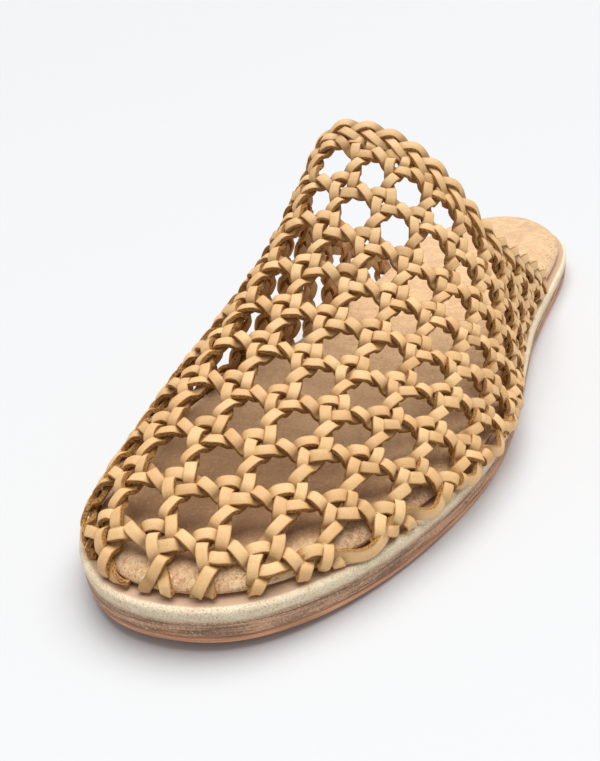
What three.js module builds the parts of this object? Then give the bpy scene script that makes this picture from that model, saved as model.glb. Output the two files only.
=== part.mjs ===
// Woven mule: a backless left shoe of leather strips woven over a last, on a flat layered leather sole.
// Millimetres, +Z up, toe along +X, outer side of the foot along +Y.
// While it is built, x runs from the heel at 0 to the toe at LENGTH; the last step centres the shoe.
import * as THREE from "three";

// Sizes of the sole
const LENGTH = 262;
const TOE_SPRING = 2.4;
const SPRING_START = 185;
const ARCH_LIFT = 1.6;
const ARCH_BACK = 70;
const ARCH_FRONT = 160;
const TOE_SWING = -7; // how far the toe turns towards the inner side
const SWING_START = 118;
const SCALE_WIDTH = 45; // half-width at which an inset is taken in full
const STATIONS = 32; // sections along each sole layer

// Plan outline of the sole: share of the length from the heel, and half-width on each side
const OUTLINE = [
  { station: 0, outer: 0, inner: 0 },
  { station: 0.04, outer: 18.2, inner: 18.2 },
  { station: 0.12, outer: 29, inner: 29 },
  { station: 0.25, outer: 33, inner: 31 },
  { station: 0.42, outer: 36.9, inner: 29.5 },
  { station: 0.56, outer: 43.4, inner: 34.5 },
  { station: 0.68, outer: 46.5, inner: 42.4 },
  { station: 0.78, outer: 44.1, inner: 42 },
  { station: 0.87, outer: 38.4, inner: 36.8 },
  { station: 0.94, outer: 29.7, inner: 27.9 },
  { station: 0.98, outer: 19.4, inner: 16.4 },
  { station: 1, outer: 0, inner: 0 },
];

// Each layer of the sole as rings from bottom to top: height above the sole's underside, and inset
// from the outline. The insole also follows the upper's outer side by a share of its spread, given
// below. Pieces that touch in the real shoe stay 0.3 mm apart.
const OUTSOLE = [
  { height: 0, inset: 1 },
  { height: 0.6, inset: 0.3 },
  { height: 1.7, inset: 0.3 },
];
const SOLE_LAYER = [
  { height: 2, inset: 0.6 },
  { height: 2.4, inset: 0.1 },
  { height: 5.3, inset: 0.1 },
];
const MIDSOLE = [
  { height: 5.6, inset: 0.1 },
  { height: 8.3, inset: 0 },
  { height: 8.9, inset: 0.5 },
  { height: 9.2, inset: 1.4 },
];
const INSOLE = [
  { height: 9.5, inset: 6.6, follow: 0.6 },
  { height: 10.4, inset: 6.4, follow: 0.6 },
  { height: 11.7, inset: 7.8, follow: 0.6 },
  { height: 12.9, inset: 9.8, follow: 0.6 },
  { height: 13.7, inset: 12.6, follow: 0.6 },
];

// Sizes of the upper
const FOOT_HEIGHT = 9.5; // underside of the upper, above the underside of the sole
const FOOT_INSET = 3;
const WALL = 2.3;
const RIDGE_SHARE = 0.45; // ridge line as a share of the inner half-width, at RIDGE_STATION
const RIDGE_TURN = -0.001; // change of that share for each millimetre towards the toe
const RIDGE_STATION = 200;
const FLANK = 1.3; // exponent of the rise across a section: 1 is an ellipse, more lowers its shoulders
const BULGE_OUTER = 1;
const BULGE_RISE = 12; // ridge height at which the bulge is full

// Height of the ridge above the foot of the upper, by distance back from the toe
const RIDGE = [
  { back: 0, height: 0 },
  { back: 12, height: 11.5 },
  { back: 30, height: 18.5 },
  { back: 55, height: 27.5 },
  { back: 80, height: 36 },
  { back: 105, height: 50.5 },
  { back: 130, height: 67.5 },
  { back: 160, height: 75 },
  { back: 210, height: 81 },
];

// Bulge of the upper's inner side, by distance back from the toe
const INNER_BULGE = [
  { back: 0, bulge: 5.5 },
  { back: 20, bulge: 1.7 },
  { back: 50, bulge: 0 },
  { back: 95, bulge: 2 },
  { back: 135, bulge: 8 },
];
const BULGE_END = 135; // behind this it stays the same

// How far the foot of the upper's outer side stands out over the midsole, by distance back from the toe
const OUTER_SPREAD = [
  { back: 0, spread: 0 },
  { back: 30, spread: 0.9 },
  { back: 60, spread: 2.5 },
  { back: 95, spread: 2.5 },
  { back: 135, spread: 0.3 },
];

// Collar: where its edge crosses the ridge and the foot, and the braid along it
const COLLAR_TOP = 126.5;
const COLLAR_FOOT = 65.5;
const COLLAR_SWEEP = 10.5; // exponent: higher keeps the collar upright for longer
const BRAID_REACH = 7; // reach of the braid along the shoe at the ridge; twice that at the foot
const BRAID_RAISE = 1.1;

// Weave: pairs of strips cross at knots, which lie in columns along the shoe and rows across it
const ROW_START = 22.2; // row 0 at column 0, from the toe along the ridge
const ROW_PITCH = 13.6;
const ROW_SLANT = 3.5; // how far a row goes back for each column towards the outer side
const ROW_BOW = 0.89; // how far it bows back to both sides, by the column squared
const ROW_FAN = -0.58; // how the rows close up towards the outer side
const COLUMN_START = 35.6; // column 0 from the ridge, towards the outer side
const COLUMN_PITCH = 12.15;
const COLUMN_BOW = -0.22; // how far a column bows towards the ridge at both ends, by the row squared
const COLUMN_SHIFT = -0.28; // how far the columns draw inwards at both sides, by the column squared
const MIDDLE_ROW = 3.5;
const BEND_REACH = 5; // count of rows or columns over which these bends level off
const COLUMNS = { first: -12, last: 7 };
const ROWS = { first: -5, last: 16 };
const HOLE_CORNER = 0.47; // hole's reach towards a knot, as a share of the cell's
const HOLE_SIDE = 0.73; // hole's reach towards the middle of a strip
const SMALLEST_CELL = 0.45; // a cell cut to less than this share of a full one keeps no hole
const KNOT_RAISE = 0.9;
const STRIP_RAISE = 0.5;

// Finish of each piece
const FINISHES = {
  outsole: { color: 0xbe8264, roughness: 0.6, metalness: 0 },
  sole_layer: { color: 0x96785f, roughness: 0.8, metalness: 0 },
  midsole: { color: 0xcdbea0, roughness: 0.75, metalness: 0 },
  insole: { color: 0xd7aa8c, roughness: 0.9, metalness: 0 },
  upper: { color: 0xd9b07a, roughness: 0.55, metalness: 0 },
};

const clamp = (value, low, high) => Math.min(Math.max(value, low), high);
const mix = (from, to, share) => from + (to - from) * share;

/** Natural cubic spline through the points (xs, ys), as a function of x. */
function spline(xs, ys) {
  const last = xs.length - 1;
  const bend = new Array(xs.length).fill(0);
  const carry = new Array(xs.length).fill(0);
  for (let k = 1; k < last; k += 1) {
    const before = xs[k] - xs[k - 1];
    const after = xs[k + 1] - xs[k];
    const turn = (ys[k + 1] - ys[k]) / after - (ys[k] - ys[k - 1]) / before;
    const pivot = 2 * (before + after) - before * carry[k - 1];
    carry[k] = after / pivot;
    bend[k] = (6 * turn - before * bend[k - 1]) / pivot;
  }
  for (let k = last - 1; k > 0; k -= 1) {
    bend[k] -= carry[k] * bend[k + 1];
  }
  return (x) => {
    let k = 0;
    while (k < last - 1 && x > xs[k + 1]) k += 1;
    const step = xs[k + 1] - xs[k];
    const a = (xs[k + 1] - x) / step;
    const b = 1 - a;
    const curve = ((a ** 3 - a) * bend[k] + (b ** 3 - b) * bend[k + 1]) * (step * step) / 6;
    return a * ys[k] + b * ys[k + 1] + curve;
  };
}

/** Turns a share of the length into a share of a half circle, which rounds both ends of the outline. */
const around = (station) => Math.acos(1 - 2 * clamp(station, 0, 1)) / Math.PI;

const outlineTurns = OUTLINE.map((row) => around(row.station));
const outerWidth = spline(outlineTurns, OUTLINE.map((row) => row.outer));
const innerWidth = spline(outlineTurns, OUTLINE.map((row) => row.inner));
const ridgeHeight = spline(RIDGE.map((row) => Math.sqrt(row.back)), RIDGE.map((row) => row.height));
const innerBulge = spline(INNER_BULGE.map((row) => row.back), INNER_BULGE.map((row) => row.bulge));
const outerSpread = spline(OUTER_SPREAD.map((row) => row.back), OUTER_SPREAD.map((row) => row.spread));

/** Sideways swing of the centre line at station x. */
function swing(x) {
  return TOE_SWING * Math.max(0, (x - SWING_START) / (LENGTH - SWING_START)) ** 2;
}

/** Lift of the sole at station x: a low arch under the waist and a spring at the toe. */
function lift(x) {
  const toe = clamp((x - SPRING_START) / (LENGTH - SPRING_START), 0, 1);
  const waist = clamp((x - ARCH_BACK) / (ARCH_FRONT - ARCH_BACK), 0, 1);
  return TOE_SPRING * toe ** 2 + ARCH_LIFT * Math.sin(Math.PI * waist) ** 2;
}

/** Station and both sides of the outline, drawn in by inset, at a share of the length. */
function outline(share, inset) {
  const x = inset + share * (LENGTH - 2 * inset);
  const scale = 1 - inset / SCALE_WIDTH;
  const turn = around(share);
  return {
    x,
    outer: swing(x) + outerWidth(turn) * scale,
    inner: swing(x) - innerWidth(turn) * scale,
  };
}

/** Mesh from points and triangles; its triangles are turned over if they face inwards. */
function solid(name, points, triangles) {
  let volume = 0;
  for (const [a, b, c] of triangles) {
    volume += points[a].dot(new THREE.Vector3().crossVectors(points[b], points[c]));
  }
  const faces = volume < 0 ? triangles.map(([a, b, c]) => [a, c, b]) : triangles;
  const geometry = new THREE.BufferGeometry().setFromPoints(points);
  geometry.setIndex(faces.flat());
  geometry.computeVertexNormals();
  const mesh = new THREE.Mesh(geometry, new THREE.MeshStandardMaterial({ ...FINISHES[name] }));
  mesh.name = name;
  return mesh;
}

/** One ring of a sole layer: along the outer side from heel to toe, then back along the inner side. */
function ring({ height, inset, follow = 0 }) {
  const outer = [];
  const inner = [];
  for (let k = 0; k <= STATIONS; k += 1) {
    const share = 0.5 - 0.5 * Math.cos((Math.PI * k) / STATIONS);
    const at = outline(share, inset);
    const z = lift(at.x) + height;
    const spread = follow * outerSpread(clamp(LENGTH - FOOT_INSET - at.x, 0, BULGE_END));
    outer.push(new THREE.Vector3(at.x, at.outer + spread, z));
    inner.push(new THREE.Vector3(at.x, at.inner, z));
  }
  return [...outer, ...inner.slice(1, -1).reverse()];
}

/** A layer of the sole: side walls between its rings, and a lid of strips across the first and last ring. */
function layer(name, rows) {
  const count = 2 * STATIONS;
  const points = rows.flatMap(ring);
  const triangles = [];
  for (let r = 0; r + 1 < rows.length; r += 1) {
    for (let k = 0; k < count; k += 1) {
      const a = r * count + k;
      const b = r * count + ((k + 1) % count);
      triangles.push([a, b, b + count], [a, b + count, a + count]);
    }
  }
  const lid = (start, over) => {
    for (let k = 0; k < STATIONS; k += 1) {
      const outer = start + k;
      const inner = start + ((count - k) % count);
      const nextInner = start + count - k - 1;
      const near = [outer, outer + 1, nextInner];
      const far = [outer, nextInner, inner];
      for (const [a, b, c] of [near, far]) {
        if (a === b || b === c || a === c) continue;
        triangles.push(over ? [a, c, b] : [a, b, c]);
      }
    }
  };
  lid(0, true);
  lid((rows.length - 1) * count, false);
  return solid(name, points, triangles);
}

/** Point of the upper at station x and an angle across it, 0 at the outer foot and PI at the inner foot. */
function upperPoint(x, angle, depth = 0) {
  const share = clamp((x - FOOT_INSET) / (LENGTH - 2 * FOOT_INSET), 0, 1);
  const at = outline(share, FOOT_INSET + depth);
  const middle = swing(at.x);
  const ridge = mix(middle, at.inner, RIDGE_SHARE + RIDGE_TURN * (x - RIDGE_STATION));
  const back = clamp(LENGTH - FOOT_INSET - x, 0, 210);
  const full = ridgeHeight(Math.sqrt(back));
  const height = full - depth * Math.min(1, full / 8);
  const across = Math.abs(Math.cos(angle));
  const near = Math.min(back, BULGE_END);
  const side = angle < Math.PI / 2 ? at.outer + outerSpread(near) : at.inner;
  const swell = angle < Math.PI / 2 ? BULGE_OUTER : -innerBulge(near);
  const bulge = swell * Math.min(1, full / BULGE_RISE) * Math.abs(Math.sin(2 * angle));
  const y = mix(ridge, side, across) + bulge;
  const z = lift(at.x) + FOOT_HEIGHT + height * Math.abs(Math.sin(angle)) ** FLANK;
  return new THREE.Vector3(at.x, y, z);
}

/** Running length along a row of points. */
function runningLength(points) {
  const lengths = [0];
  for (let k = 1; k < points.length; k += 1) {
    lengths.push(lengths[k - 1] + points[k].distanceTo(points[k - 1]));
  }
  return lengths;
}

/** Value at a running length, found between the two nearest samples. */
function valueAt(length, lengths, values) {
  let k = 0;
  while (k < lengths.length - 2 && length > lengths[k + 1]) k += 1;
  const share = clamp((length - lengths[k]) / (lengths[k + 1] - lengths[k] || 1), 0, 1);
  return mix(values[k], values[k + 1], share);
}

const ridgeStations = Array.from({ length: 200 }, (_, k) => LENGTH - FOOT_INSET - 190 * (k / 199) ** 1.8);
const ridgeLengths = runningLength(ridgeStations.map((x) => upperPoint(x, Math.PI / 2)));
const ANGLES = Array.from({ length: 81 }, (_, k) => (Math.PI * k) / 80);

/** Count of rows or columns that levels off at BEND_REACH to either side. */
const levelled = (count) => BEND_REACH * Math.tanh(count / BEND_REACH);

/** Station, angle and distance inside the foot line for a place in the weave. */
function locate(place) {
  const column = levelled(place.column);
  const row = levelled(place.row - MIDDLE_ROW);
  const fromToe = ROW_START + ROW_PITCH * place.row + ROW_SLANT * place.column;
  const along = fromToe + ROW_BOW * column ** 2 + ROW_FAN * column * row;
  const fromRidge = COLUMN_START + COLUMN_PITCH * place.column;
  const offRidge = fromRidge + COLUMN_BOW * row ** 2 + COLUMN_SHIFT * column ** 2;
  const x = valueAt(Math.max(0, along), ridgeLengths, ridgeStations);
  const lengths = runningLength(ANGLES.map((angle) => upperPoint(x, angle)));
  const across = lengths[40] - offRidge;
  const inside = Math.min(across, lengths[80] - across, along);
  return { x, angle: valueAt(across, lengths, ANGLES), inside };
}

/** Station of the collar's edge, or with reach 1 of the line where the weave meets the braid. */
function collarStation(angle, reach) {
  const lean = Math.abs(Math.cos(angle));
  const edge = mix(COLLAR_TOP, COLLAR_FOOT, lean ** COLLAR_SWEEP);
  return edge + reach * BRAID_REACH * (1 + lean ** 4);
}

const insideFoot = (place) => locate(place).inside;
const insideCollar = (place) => {
  const at = locate(place);
  return at.x - collarStation(at.angle, 1);
};

/** Place between two others. */
function between(a, b, share) {
  return { column: mix(a.column, b.column, share), row: mix(a.row, b.row, share) };
}

/** Place where a test changes sign on the way from a place inside to one outside. */
function crossing(inside, outside, test) {
  let low = 0;
  let high = 1;
  for (let step = 0; step < 40; step += 1) {
    const middle = (low + high) / 2;
    if (test(between(inside, outside, middle)) > 0) low = middle;
    else high = middle;
  }
  return between(inside, outside, low);
}

/** Cuts a loop of places to the side where the test is positive; new edges take the border's name. */
function cut(loop, test, border) {
  const values = loop.map(test);
  const kept = [];
  loop.forEach((place, k) => {
    const next = loop[(k + 1) % loop.length];
    const here = values[k] > 0;
    const there = values[(k + 1) % loop.length] > 0;
    if (here) kept.push(place);
    if (here && !there) kept.push({ ...crossing(place, next, test), edge: border });
    if (!here && there) kept.push({ ...crossing(next, place, test), edge: place.edge });
  });
  return kept;
}

/** Area of a loop of places, in whole cells. */
function cellShare(loop) {
  let twice = 0;
  loop.forEach((a, k) => {
    const b = loop[(k + 1) % loop.length];
    twice += a.column * b.row - b.column * a.row;
  });
  return twice / 2;
}

/** The woven upper: every cell of the weave is a ring of strips round a hole; a braid follows the collar. */
function wovenUpper(name) {
  const points = [];
  const triangles = [];
  const known = new Map();

  const vertex = (spot, depth) => {
    const key = [spot.x.toFixed(3), spot.angle.toFixed(4), depth.toFixed(2)].join();
    if (!known.has(key)) {
      known.set(key, points.length);
      points.push(upperPoint(spot.x, spot.angle, depth));
    }
    return known.get(key);
  };
  const quad = (a, b, c, d) => {
    for (const face of [[a, b, c], [a, c, d]]) {
      if (new Set(face).size === 3) triangles.push(face);
    }
  };
  const toFoot = (spot) => ({ ...spot, angle: spot.angle < Math.PI / 2 ? 0 : Math.PI });

  // The band beside one collar edge of a cell, from the weave's border a-b to the open edge.
  const braid = (a, b) => {
    const out = [a, b].map((spot) => {
      const edge = collarStation(spot.angle, 0);
      const line = (reach, depth) => vertex({ ...spot, x: mix(spot.x, edge, reach) }, depth);
      return [
        line(0, -STRIP_RAISE),
        line(0.5, -BRAID_RAISE),
        line(1, -STRIP_RAISE),
        line(1, WALL),
        line(0, WALL),
      ];
    });
    for (let k = 0; k < 4; k += 1) {
      quad(out[1][k], out[0][k], out[0][k + 1], out[1][k + 1]);
    }
    const close = (rim, over) => {
      for (let k = 1; k < 4; k += 1) {
        triangles.push(over ? [rim[0], rim[k + 1], rim[k]] : [rim[0], rim[k], rim[k + 1]]);
      }
    };
    const atFoot = (spot) => spot.angle === 0 || spot.angle === Math.PI;
    if (atFoot(a)) close(out[0], true);
    if (atFoot(b)) close(out[1], false);
  };

  const cell = (column, row) => {
    const corners = [[0, 0], [1, 0], [1, 1], [0, 1]];
    let loop = corners.map(([c, r]) => ({ column: column + c, row: row + r, edge: "weave", knot: true }));
    loop = cut(loop, insideFoot, "foot");
    if (loop.length > 2) loop = cut(loop, insideCollar, "collar");
    if (loop.length < 3) return;

    const sum = loop.reduce((a, b) => ({ column: a.column + b.column, row: a.row + b.row }));
    const middle = { column: sum.column / loop.length, row: sum.row / loop.length };
    const tests = { foot: insideFoot, collar: insideCollar };
    const rim = [];
    loop.forEach((place, k) => {
      const next = loop[(k + 1) % loop.length];
      const before = loop[(k + loop.length - 1) % loop.length];
      const { edge, knot } = place;
      const half = between(place, next, 0.5);
      const side = edge === "weave" ? half : crossing(middle, between(middle, half, 2), tests[edge]);
      const raise = knot ? KNOT_RAISE : STRIP_RAISE;
      const onFoot = edge === "foot" || before.edge === "foot";
      rim.push({ place, reach: HOLE_CORNER, edge, raise, onFoot });
      rim.push({ place: side, reach: HOLE_SIDE, edge, raise: STRIP_RAISE, onFoot: edge === "foot" });
    });
    const spots = rim.map((p) => (p.onFoot ? toFoot(locate(p.place)) : locate(p.place)));
    const outer = rim.map((p, k) => vertex(spots[k], -p.raise));
    const inner = rim.map((p, k) => vertex(spots[k], WALL));
    const open = cellShare(loop) > SMALLEST_CELL;
    const toward = (p, share) => locate(between(middle, p.place, share));
    const crown = rim.map((p) => (open ? vertex(toward(p, (1 + p.reach) / 2), -STRIP_RAISE) : 0));
    const lip = rim.map((p) => (open ? vertex(toward(p, p.reach), 0) : 0));
    const under = rim.map((p) => (open ? vertex(toward(p, p.reach), WALL) : 0));
    const top = open ? 0 : vertex(locate(middle), -STRIP_RAISE);
    const bottom = open ? 0 : vertex(locate(middle), WALL);

    rim.forEach((p, k) => {
      const n = (k + 1) % rim.length;
      if (open) {
        quad(outer[k], outer[n], crown[n], crown[k]);
        quad(crown[k], crown[n], lip[n], lip[k]);
        quad(lip[k], lip[n], under[n], under[k]);
        quad(inner[k], under[k], under[n], inner[n]);
      } else {
        triangles.push([outer[k], outer[n], top], [inner[n], inner[k], bottom]);
      }
      if (p.edge === "foot") quad(outer[n], outer[k], inner[k], inner[n]);
      if (p.edge === "collar") braid(spots[k], spots[n]);
    });
  };

  for (let column = COLUMNS.first; column < COLUMNS.last; column += 1) {
    for (let row = ROWS.first; row < ROWS.last; row += 1) {
      cell(column, row);
    }
  }
  return solid(name, points, triangles);
}

/** Moves the group so that the shoe stands on z = 0 with its box centred on the origin. */
function centre(group) {
  const box = new THREE.Box3().setFromObject(group);
  const middle = box.getCenter(new THREE.Vector3());
  group.position.set(-middle.x, -middle.y, -box.min.z);
  return group;
}

const shoe = new THREE.Group();
shoe.name = "woven_mule";
shoe.add(layer("outsole", OUTSOLE));
shoe.add(layer("sole_layer", SOLE_LAYER));
shoe.add(layer("midsole", MIDSOLE));
shoe.add(layer("insole", INSOLE));
shoe.add(wovenUpper("upper"));

export default centre(shoe);
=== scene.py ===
"""Woven mule: the left shoe's looks, made over its packed solids.

Every piece is a numpy surface in the shoe's own sizes. The last is worked out in millimetres with x
from the heel to the toe, +y to the outer side and +z up, and is moved into the packed frame at the end.
"""
import math

import bpy
import numpy as np
from bpy.props import FloatProperty, FloatVectorProperty, PointerProperty
from mathutils import Matrix, Vector


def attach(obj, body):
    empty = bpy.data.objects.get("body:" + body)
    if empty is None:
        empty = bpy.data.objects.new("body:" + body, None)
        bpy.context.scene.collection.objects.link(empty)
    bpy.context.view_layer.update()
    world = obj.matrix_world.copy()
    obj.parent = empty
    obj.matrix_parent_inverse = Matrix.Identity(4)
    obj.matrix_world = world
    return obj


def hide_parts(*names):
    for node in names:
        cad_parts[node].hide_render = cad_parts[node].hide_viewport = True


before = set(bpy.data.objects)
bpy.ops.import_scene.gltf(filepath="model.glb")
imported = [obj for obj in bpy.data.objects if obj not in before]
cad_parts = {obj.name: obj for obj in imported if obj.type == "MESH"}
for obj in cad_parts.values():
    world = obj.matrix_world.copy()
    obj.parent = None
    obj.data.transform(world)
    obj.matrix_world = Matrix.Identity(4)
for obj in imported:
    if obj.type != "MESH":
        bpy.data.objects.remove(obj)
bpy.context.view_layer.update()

bl_info = {
    "name": "Woven mule",
    "version": (1, 0, 0),
    "blender": (4, 5, 0),
    "location": "3D View > Sidebar > Mule",
    "description": "Makes a woven leather mule piece by piece over its packed solids",
    "category": "Object",
}

MM = 0.001  # a millimetre, in metres

# Sizes of the last, in millimetres, as in the packed solids
LENGTH = 262.0
TOE_SPRING = 2.4
SPRING_START = 185.0
ARCH_LIFT = 1.6
ARCH_BACK = 70.0
ARCH_FRONT = 160.0
TOE_SWING = -7.0
SWING_START = 118.0
SCALE_WIDTH = 45.0  # half-width at which an inset is taken in full
FOOT_HEIGHT = 9.5  # the upper's underside, above the sole's
FOOT_INSET = 3.0
UPPER_TOE = LENGTH - FOOT_INSET
RIDGE_SHARE = 0.45  # ridge line as a share of the inner half-width, at RIDGE_STATION
RIDGE_TURN = -0.001  # change of that share for each millimetre towards the toe
RIDGE_STATION = 200.0
THIN_RISE = 8.0  # ridge height at which a depth is taken in full
FLANK = 1.3  # exponent of a section's rise: 1 is an ellipse, more lowers its shoulders
BULGE_OUTER = 1.0
BULGE_RISE = 12.0  # ridge height at which the bulge is full
BULGE_END = 135.0
COLLAR_TOP = 126.5
COLLAR_FOOT = 65.5
COLLAR_SWEEP = 10.5  # exponent: higher keeps the collar upright for longer
BRAID_REACH = 7.0  # reach of the braid along the shoe at the ridge; twice that at the foot
BRAID_WIDENING = 4  # exponent: higher keeps the braid narrow for longer

# Weave: knots lie in columns along the shoe and rows across it
ROW_START = 22.2  # row 0 at column 0, from the toe along the ridge
ROW_PITCH = 13.6
ROW_SLANT = 3.5  # back for each column towards the outer side
ROW_BOW = 0.89  # back to both sides, by the column squared
ROW_FAN = -0.58  # how the rows close up towards the outer side
COLUMN_START = 35.6  # column 0 from the ridge, towards the outer side
COLUMN_PITCH = 12.15
COLUMN_BOW = -0.22  # towards the ridge at both ends, by the row squared
COLUMN_SHIFT = -0.28  # inwards at both sides, by the column squared
MIDDLE_ROW = 3.5
BEND_REACH = 5.0  # count of rows or columns over which these bends level off
COLUMNS = (-12, 7)
ROWS = (-5, 16)

# Plan outline of the sole: share of the length from the heel, and half-width on each side
STATION, OUTER, INNER = np.array([
    (0.00, 0.0, 0.0),
    (0.04, 18.2, 18.2),
    (0.12, 29.0, 29.0),
    (0.25, 33.0, 31.0),
    (0.42, 36.9, 29.5),
    (0.56, 43.4, 34.5),
    (0.68, 46.5, 42.4),
    (0.78, 44.1, 42.0),
    (0.87, 38.4, 36.8),
    (0.94, 29.7, 27.9),
    (0.98, 19.4, 16.4),
    (1.00, 0.0, 0.0),
]).T

# Ridge of the upper: distance back from the toe, and height above the upper's foot
RIDGE_BACK, RIDGE_HEIGHT = np.array([
    (0.0, 0.0),
    (12.0, 11.5),
    (30.0, 18.5),
    (55.0, 27.5),
    (80.0, 36.0),
    (105.0, 50.5),
    (130.0, 67.5),
    (160.0, 75.0),
    (210.0, 81.0),
]).T

# Bulge of the upper's inner side, by distance back from the toe
BULGE_BACK, INNER_BULGE = np.array([
    (0.0, 5.5),
    (20.0, 1.7),
    (50.0, 0.0),
    (95.0, 2.0),
    (135.0, 8.0),
]).T

# How far the foot of the upper's outer side stands out over the midsole, by distance back from the toe
SPREAD_BACK, OUTER_SPREAD = np.array([
    (0.0, 0.0),
    (30.0, 0.9),
    (60.0, 2.5),
    (95.0, 2.5),
    (135.0, 0.3),
]).T

# Side of each sole layer from its underside to its top: height, and inset from the outline
OUTSOLE_SIDE = ((0.0, 3.0), (0.0, 1.4), (0.15, 0.8), (0.5, 0.45), (1.0, 0.3), (1.6, 0.3), (1.86, 0.55))
LAYER_SIDE = ((1.92, 0.75), (2.1, 0.35), (2.4, 0.15), (3.4, 0.1), (4.6, 0.1), (5.36, 0.12), (5.44, 0.2))
MIDSOLE_SIDE = (
    (5.48, 0.2), (5.56, 0.1), (6.4, 0.05), (7.4, 0.0), (8.1, 0.02), (8.5, 0.14),
    (8.8, 0.42), (9.02, 0.85), (9.15, 1.4), (9.2, 2.2), (9.2, 4.5), (9.2, 9.0),
)
INSOLE_SIDE = (
    (9.3, 6.6), (9.45, 5.6), (9.85, 4.8), (10.4, 4.3), (11.0, 4.2), (11.6, 4.5), (12.2, 5.2),
    (12.8, 6.4), (13.35, 8.2), (13.7, 10.6), (13.85, 14.0), (13.7, 18.0), (13.5, 23.0), (13.3, 30.0),
    (13.2, 37.0),
)

INSOLE_FOLLOW = 0.6  # share of the upper's spread that the insole's outer side takes up

# Section of a strip, clockwise from its upper left corner: share of the half-width and half-thickness
STRIP_SECTION = np.array([
    (-0.96, 0.8), (-0.78, 0.95), (0.0, 1.02), (0.78, 0.95), (0.96, 0.8),
    (1.0, 0.2),
    (0.98, -0.85), (0.0, -1.0), (-0.98, -0.85),
    (-1.0, 0.2),
])
RAW_SIDES = np.array([0, 0, 0, 0, 1, 1, 0, 0, 1, 1], float)  # the cut sides of the section
FLESH_SIDES = np.array([0, 0, 0, 0, 0, 0, 1, 1, 0, 0], float)  # its underside

# Fold at the foot of the weave: where it starts above the foot line, and its radius
FOLD_START = 2.3
FOLD_RADIUS = 1.6

# Flare of the strips' feet: at the toe, on the outer side, beside the ball and on the inner side
TOE_FLARE = 0.9
OUTER_FLARE = 2.2
BALL_FLARE = 2.4
INNER_FLARE = 1.6
FLARE_START = 8.0  # distance above the foot line
FLARE_GROWTH = (10, 35)  # distances back from the toe over which the sides' flare takes over
FLARE_END = (125, 95)  # and over which it is lost again
BALL_GROWTH = (58, 84)

# Core of the shoe: how far behind a point it lies, its height, and its share in outward directions
CORE_BACK = 12.0
CORE_HEIGHT = 4.0
CORE_SHARE = 0.02

# Sine waves along the strips: the pace and size of each
LINE_DRIFT = ((1.3, 1.0), (2.9, 0.6))
STRIP_DRIFT = ((2.1, 0.018), (4.3, 0.012))
STRIP_ROLL = ((1.9, 1.0), (4.1, 0.7))
STRIP_BREADTH = ((3.3, 0.04), (7.9, 0.03))
BREADTHS = (0.95, 1.05)  # narrowest and broadest strip
PLATEAU = 2.2  # how flat the tops and bottoms of the weave's waves are
TOE_LOOSE = (0.4, 1.0)  # pitches past the toe's last row over which the strips stop weaving
TOE_SPREAD = 1.25

# Ends of the weave's strips, by distance above the foot line or by reach from the collar's edge
STEEPNESS = (3.0, 8.0)  # millimetres away from the foot line in a pitch: flat and steep
STRIP_END = (1.7, 0.5)  # where a flat and a steep strip end
SINK = 1.5  # how far a flat strip sinks
SINK_RANGE = (4.0, 1.0)
CALM_RANGE = (-2.5, 4.0)  # over which the relief grows from nothing
TUCK = 0.9  # how far a strip goes in behind the braid
TUCK_RANGE = (1.25, 0.7)
TUCK_CALM = 0.35  # share of the relief that is lost there
TUCK_END = 0.4  # reach at which it ends
LEAST_CROSSWISE = 5.0  # a strip that stays lower than this is left out
LEAST_LENGTHWISE = 3.0
LEAST_SAMPLES = 8

# Strip along the feet: its reach back from the toe, its height, how far it swings and its lean
FOOT_STRIP_REACH = (18, 125)
FOOT_STRIP_RISE = 2.6
FOOT_STRIP_SWING = 1.2
FOOT_STRIP_LEAN = 0.12
ROW_MISS = 1.0  # a row that stays further away than this doesn't meet the strip
SEARCH_STEP = 0.1  # in columns, along each row

# Braid's middle line: its place between the collar's edge and the weave, and its straight feet
BRAID_MIDDLE = 0.52
BRAID_DEPTH = 0.7
BRAID_SAMPLES = 801
BRAID_FOOT = np.linspace(3.0, 0.1, 12)
FOOT_STRETCH = 0.9  # how much longer its turns are at the feet
STRETCH_SWEEP = 6  # exponent: higher keeps the turns even for longer

STATIONS = 120  # sections along each sole layer
PACKED_STATIONS = 32  # the same in the packed solids
STEPS = 24  # samples of a strip for each pitch of the weave
SPACING = 0.5  # between samples of the braid and of the foot strips
GRAIN_LENGTH = 400.0  # each strip starts somewhere in this length of leather
ANGLES = np.linspace(0, np.pi, 81)
SEED = 11


# Settings

def length_setting(name, description, default):
    """Property for a length in metres."""
    return FloatProperty(name=name, description=description, default=default, unit="LENGTH")


def angle_setting(name, description, degrees):
    """Property for an angle, whose default is given in degrees."""
    return FloatProperty(
        name=name, description=description, default=math.radians(degrees), unit="ROTATION")


def colour_setting(name, description, default):
    """Property for a colour."""
    return FloatVectorProperty(
        name=name, description=description, default=default, size=3, min=0, max=1, subtype="COLOR")


class StripSettings(bpy.types.PropertyGroup):
    """Sizes and colours of the leather strips."""

    width: length_setting("Width", "Width of a strip", 0.0028)
    thickness: length_setting("Thickness", "Thickness of a strip", 0.0013)
    relief: length_setting("Relief", "How far a strip rises and dips as it crosses others", 0.00095)
    roll: angle_setting("Roll", "How far a strip leans to its sides along its way", 9)
    drift: FloatProperty(
        name="Drift", description="How far a line of the weave strays, in parts of a pitch", default=0.045)
    depth: length_setting("Depth", "Depth of the weave's middle under the last's surface", 0.001)
    face: colour_setting("Face", "Colour of the strips' smooth face", (0.79, 0.46, 0.196))
    face_light: colour_setting("Light face", "Colour of the palest strips", (0.95, 0.61, 0.292))
    raw: colour_setting("Raw edge", "Colour of the cut edges", (0.43, 0.205, 0.055))


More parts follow.
